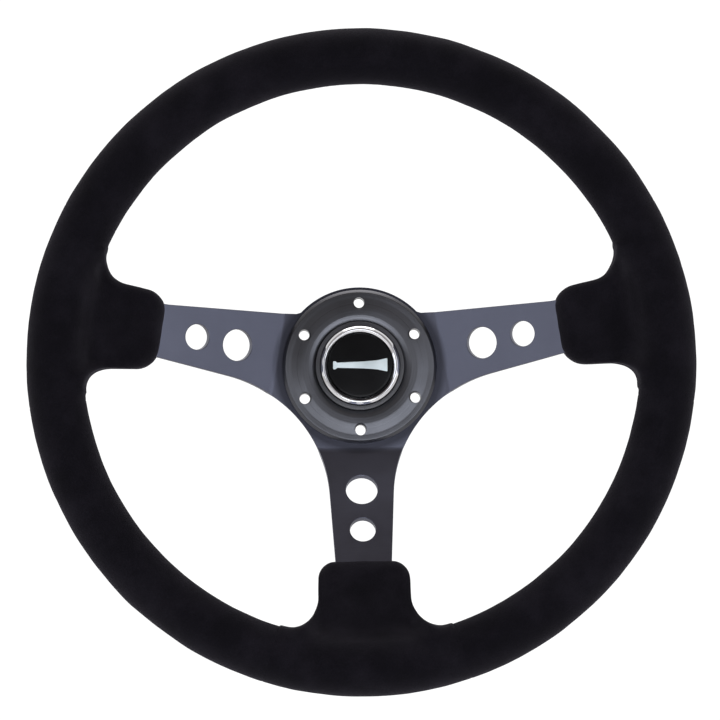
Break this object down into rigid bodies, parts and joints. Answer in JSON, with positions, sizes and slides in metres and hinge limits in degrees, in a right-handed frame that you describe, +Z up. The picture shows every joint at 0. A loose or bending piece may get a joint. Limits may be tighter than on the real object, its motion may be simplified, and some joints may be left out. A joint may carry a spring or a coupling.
{
  "type": "steering wheel",
  "caption": "Deep-dish sports steering wheel with a suede rim, anodised spokes with round holes, a horn button and a push-collar quick-release hub.",
  "frame": {"origin": "centre of the end face of the column spigot, on the steering axis", "axes": "-Y along the steering axis towards the driver, +Z up through the middle of the rim's top, +X to the driver's right"},
  "size_m": [0.35, 0.156, 0.3493],
  "materials": {
    "suede": "black suede leather with a short matte nap",
    "thread": "black waxed thread",
    "black_anodised": "black anodised over a fine brushed grain, with a faint blue sheen",
    "ring_anodised": "turned and black anodised, satin",
    "bare_aluminium": "as drawn",
    "steel": "ground",
    "black_steel": "black oxide",
    "spring_steel": "drawn wire",
    "black_plastic": "moulded, semi-gloss",
    "chrome": "bright plated",
    "pale_print": "pad-printed pale grey",
    "brass": "stamped sheet",
    "phenolic": "brown laminate",
    "foam": "black self-skinned foam"
  },
  "bodies": {
    "column": {"column_spigot": "steel"},
    "wheel": {"retaining_washer": "steel", "quick_release_hub": "black_anodised", "spoke_plate": "black_anodised", "centre_ring": "ring_anodised", "collar_spring": "spring_steel", "circlip": "spring_steel", "horn_spring": "spring_steel", "hub_screw_1": "black_steel", "hub_screw_2": "black_steel", "hub_screw_3": "black_steel", "hub_screw_4": "black_steel", "hub_screw_5": "black_steel", "hub_screw_6": "black_steel", "bracket_screw_right_1": "black_steel", "bracket_screw_right_2": "black_steel", "bracket_screw_left_1": "black_steel", "bracket_screw_left_2": "black_steel", "bracket_screw_bottom_1": "black_steel", "bracket_screw_bottom_2": "black_steel", "horn_housing": "black_plastic", "horn_contact_fixed": "brass", "horn_terminal_1": "brass", "horn_terminal_2": "brass", "contact_insulator": "phenolic", "rim_hoop": "bare_aluminium", "rim_bracket_right": "bare_aluminium", "rim_bracket_left": "bare_aluminium", "rim_bracket_bottom": "bare_aluminium", "rim_foam": "foam", "spoke_cover_right": "suede", "spoke_cover_left": "suede", "spoke_cover_bottom": "suede", "rim_cover_top": "suede", "rim_cover_left": "suede", "rim_cover_right": "suede", "seam_thread_top": "thread", "seam_thread_left": "thread", "seam_thread_right": "thread"},
    "collar": {"release_collar": "black_anodised"},
    "lock_ball_1": {"lock_ball_1": "steel"},
    "lock_ball_2": {"lock_ball_2": "steel"},
    "lock_ball_3": {"lock_ball_3": "steel"},
    "lock_ball_4": {"lock_ball_4": "steel"},
    "horn_button": {"horn_cap": "black_plastic", "horn_bezel": "chrome", "horn_symbol": "pale_print", "horn_contact_moving": "brass"}
  },
  "joints": [
    {"name": "wheel_pull_off", "type": "slide", "parent": "column", "child": "wheel", "axis": [0, -1, 0], "range_m": [0, 0.06]},
    {"name": "collar_slide", "type": "slide", "parent": "wheel", "child": "collar", "axis": [0, -1, 0], "range_m": [0, 0.007], "stiffness_N_per_m": 2000, "springref_m": -0.01, "deforming": ["collar_spring"]},
    {"name": "horn_press", "type": "slide", "parent": "wheel", "child": "horn_button", "axis": [0, 1, 0], "range_m": [0, 0.0025], "stiffness_N_per_m": 2500, "springref_m": -0.002, "deforming": ["horn_spring"]},
    {"name": "lock_ball_1_slide", "type": "slide", "parent": "wheel", "child": "lock_ball_1", "axis": [0.7071, 0, 0.7071], "range_m": [0, 0.00185]},
    {"name": "lock_ball_2_slide", "type": "slide", "parent": "wheel", "child": "lock_ball_2", "axis": [-0.7071, 0, 0.7071], "range_m": [0, 0.00185]},
    {"name": "lock_ball_3_slide", "type": "slide", "parent": "wheel", "child": "lock_ball_3", "axis": [-0.7071, 0, -0.7071], "range_m": [0, 0.00185]},
    {"name": "lock_ball_4_slide", "type": "slide", "parent": "wheel", "child": "lock_ball_4", "axis": [0.7071, 0, -0.7071], "range_m": [0, 0.00185]}
  ],
  "couplings": [
    {"joint": "lock_ball_1_slide", "follows": "collar_slide", "ratio": 0.25},
    {"joint": "lock_ball_2_slide", "follows": "collar_slide", "ratio": 0.25},
    {"joint": "lock_ball_3_slide", "follows": "collar_slide", "ratio": 0.25},
    {"joint": "lock_ball_4_slide", "follows": "collar_slide", "ratio": 0.25}
  ]
}
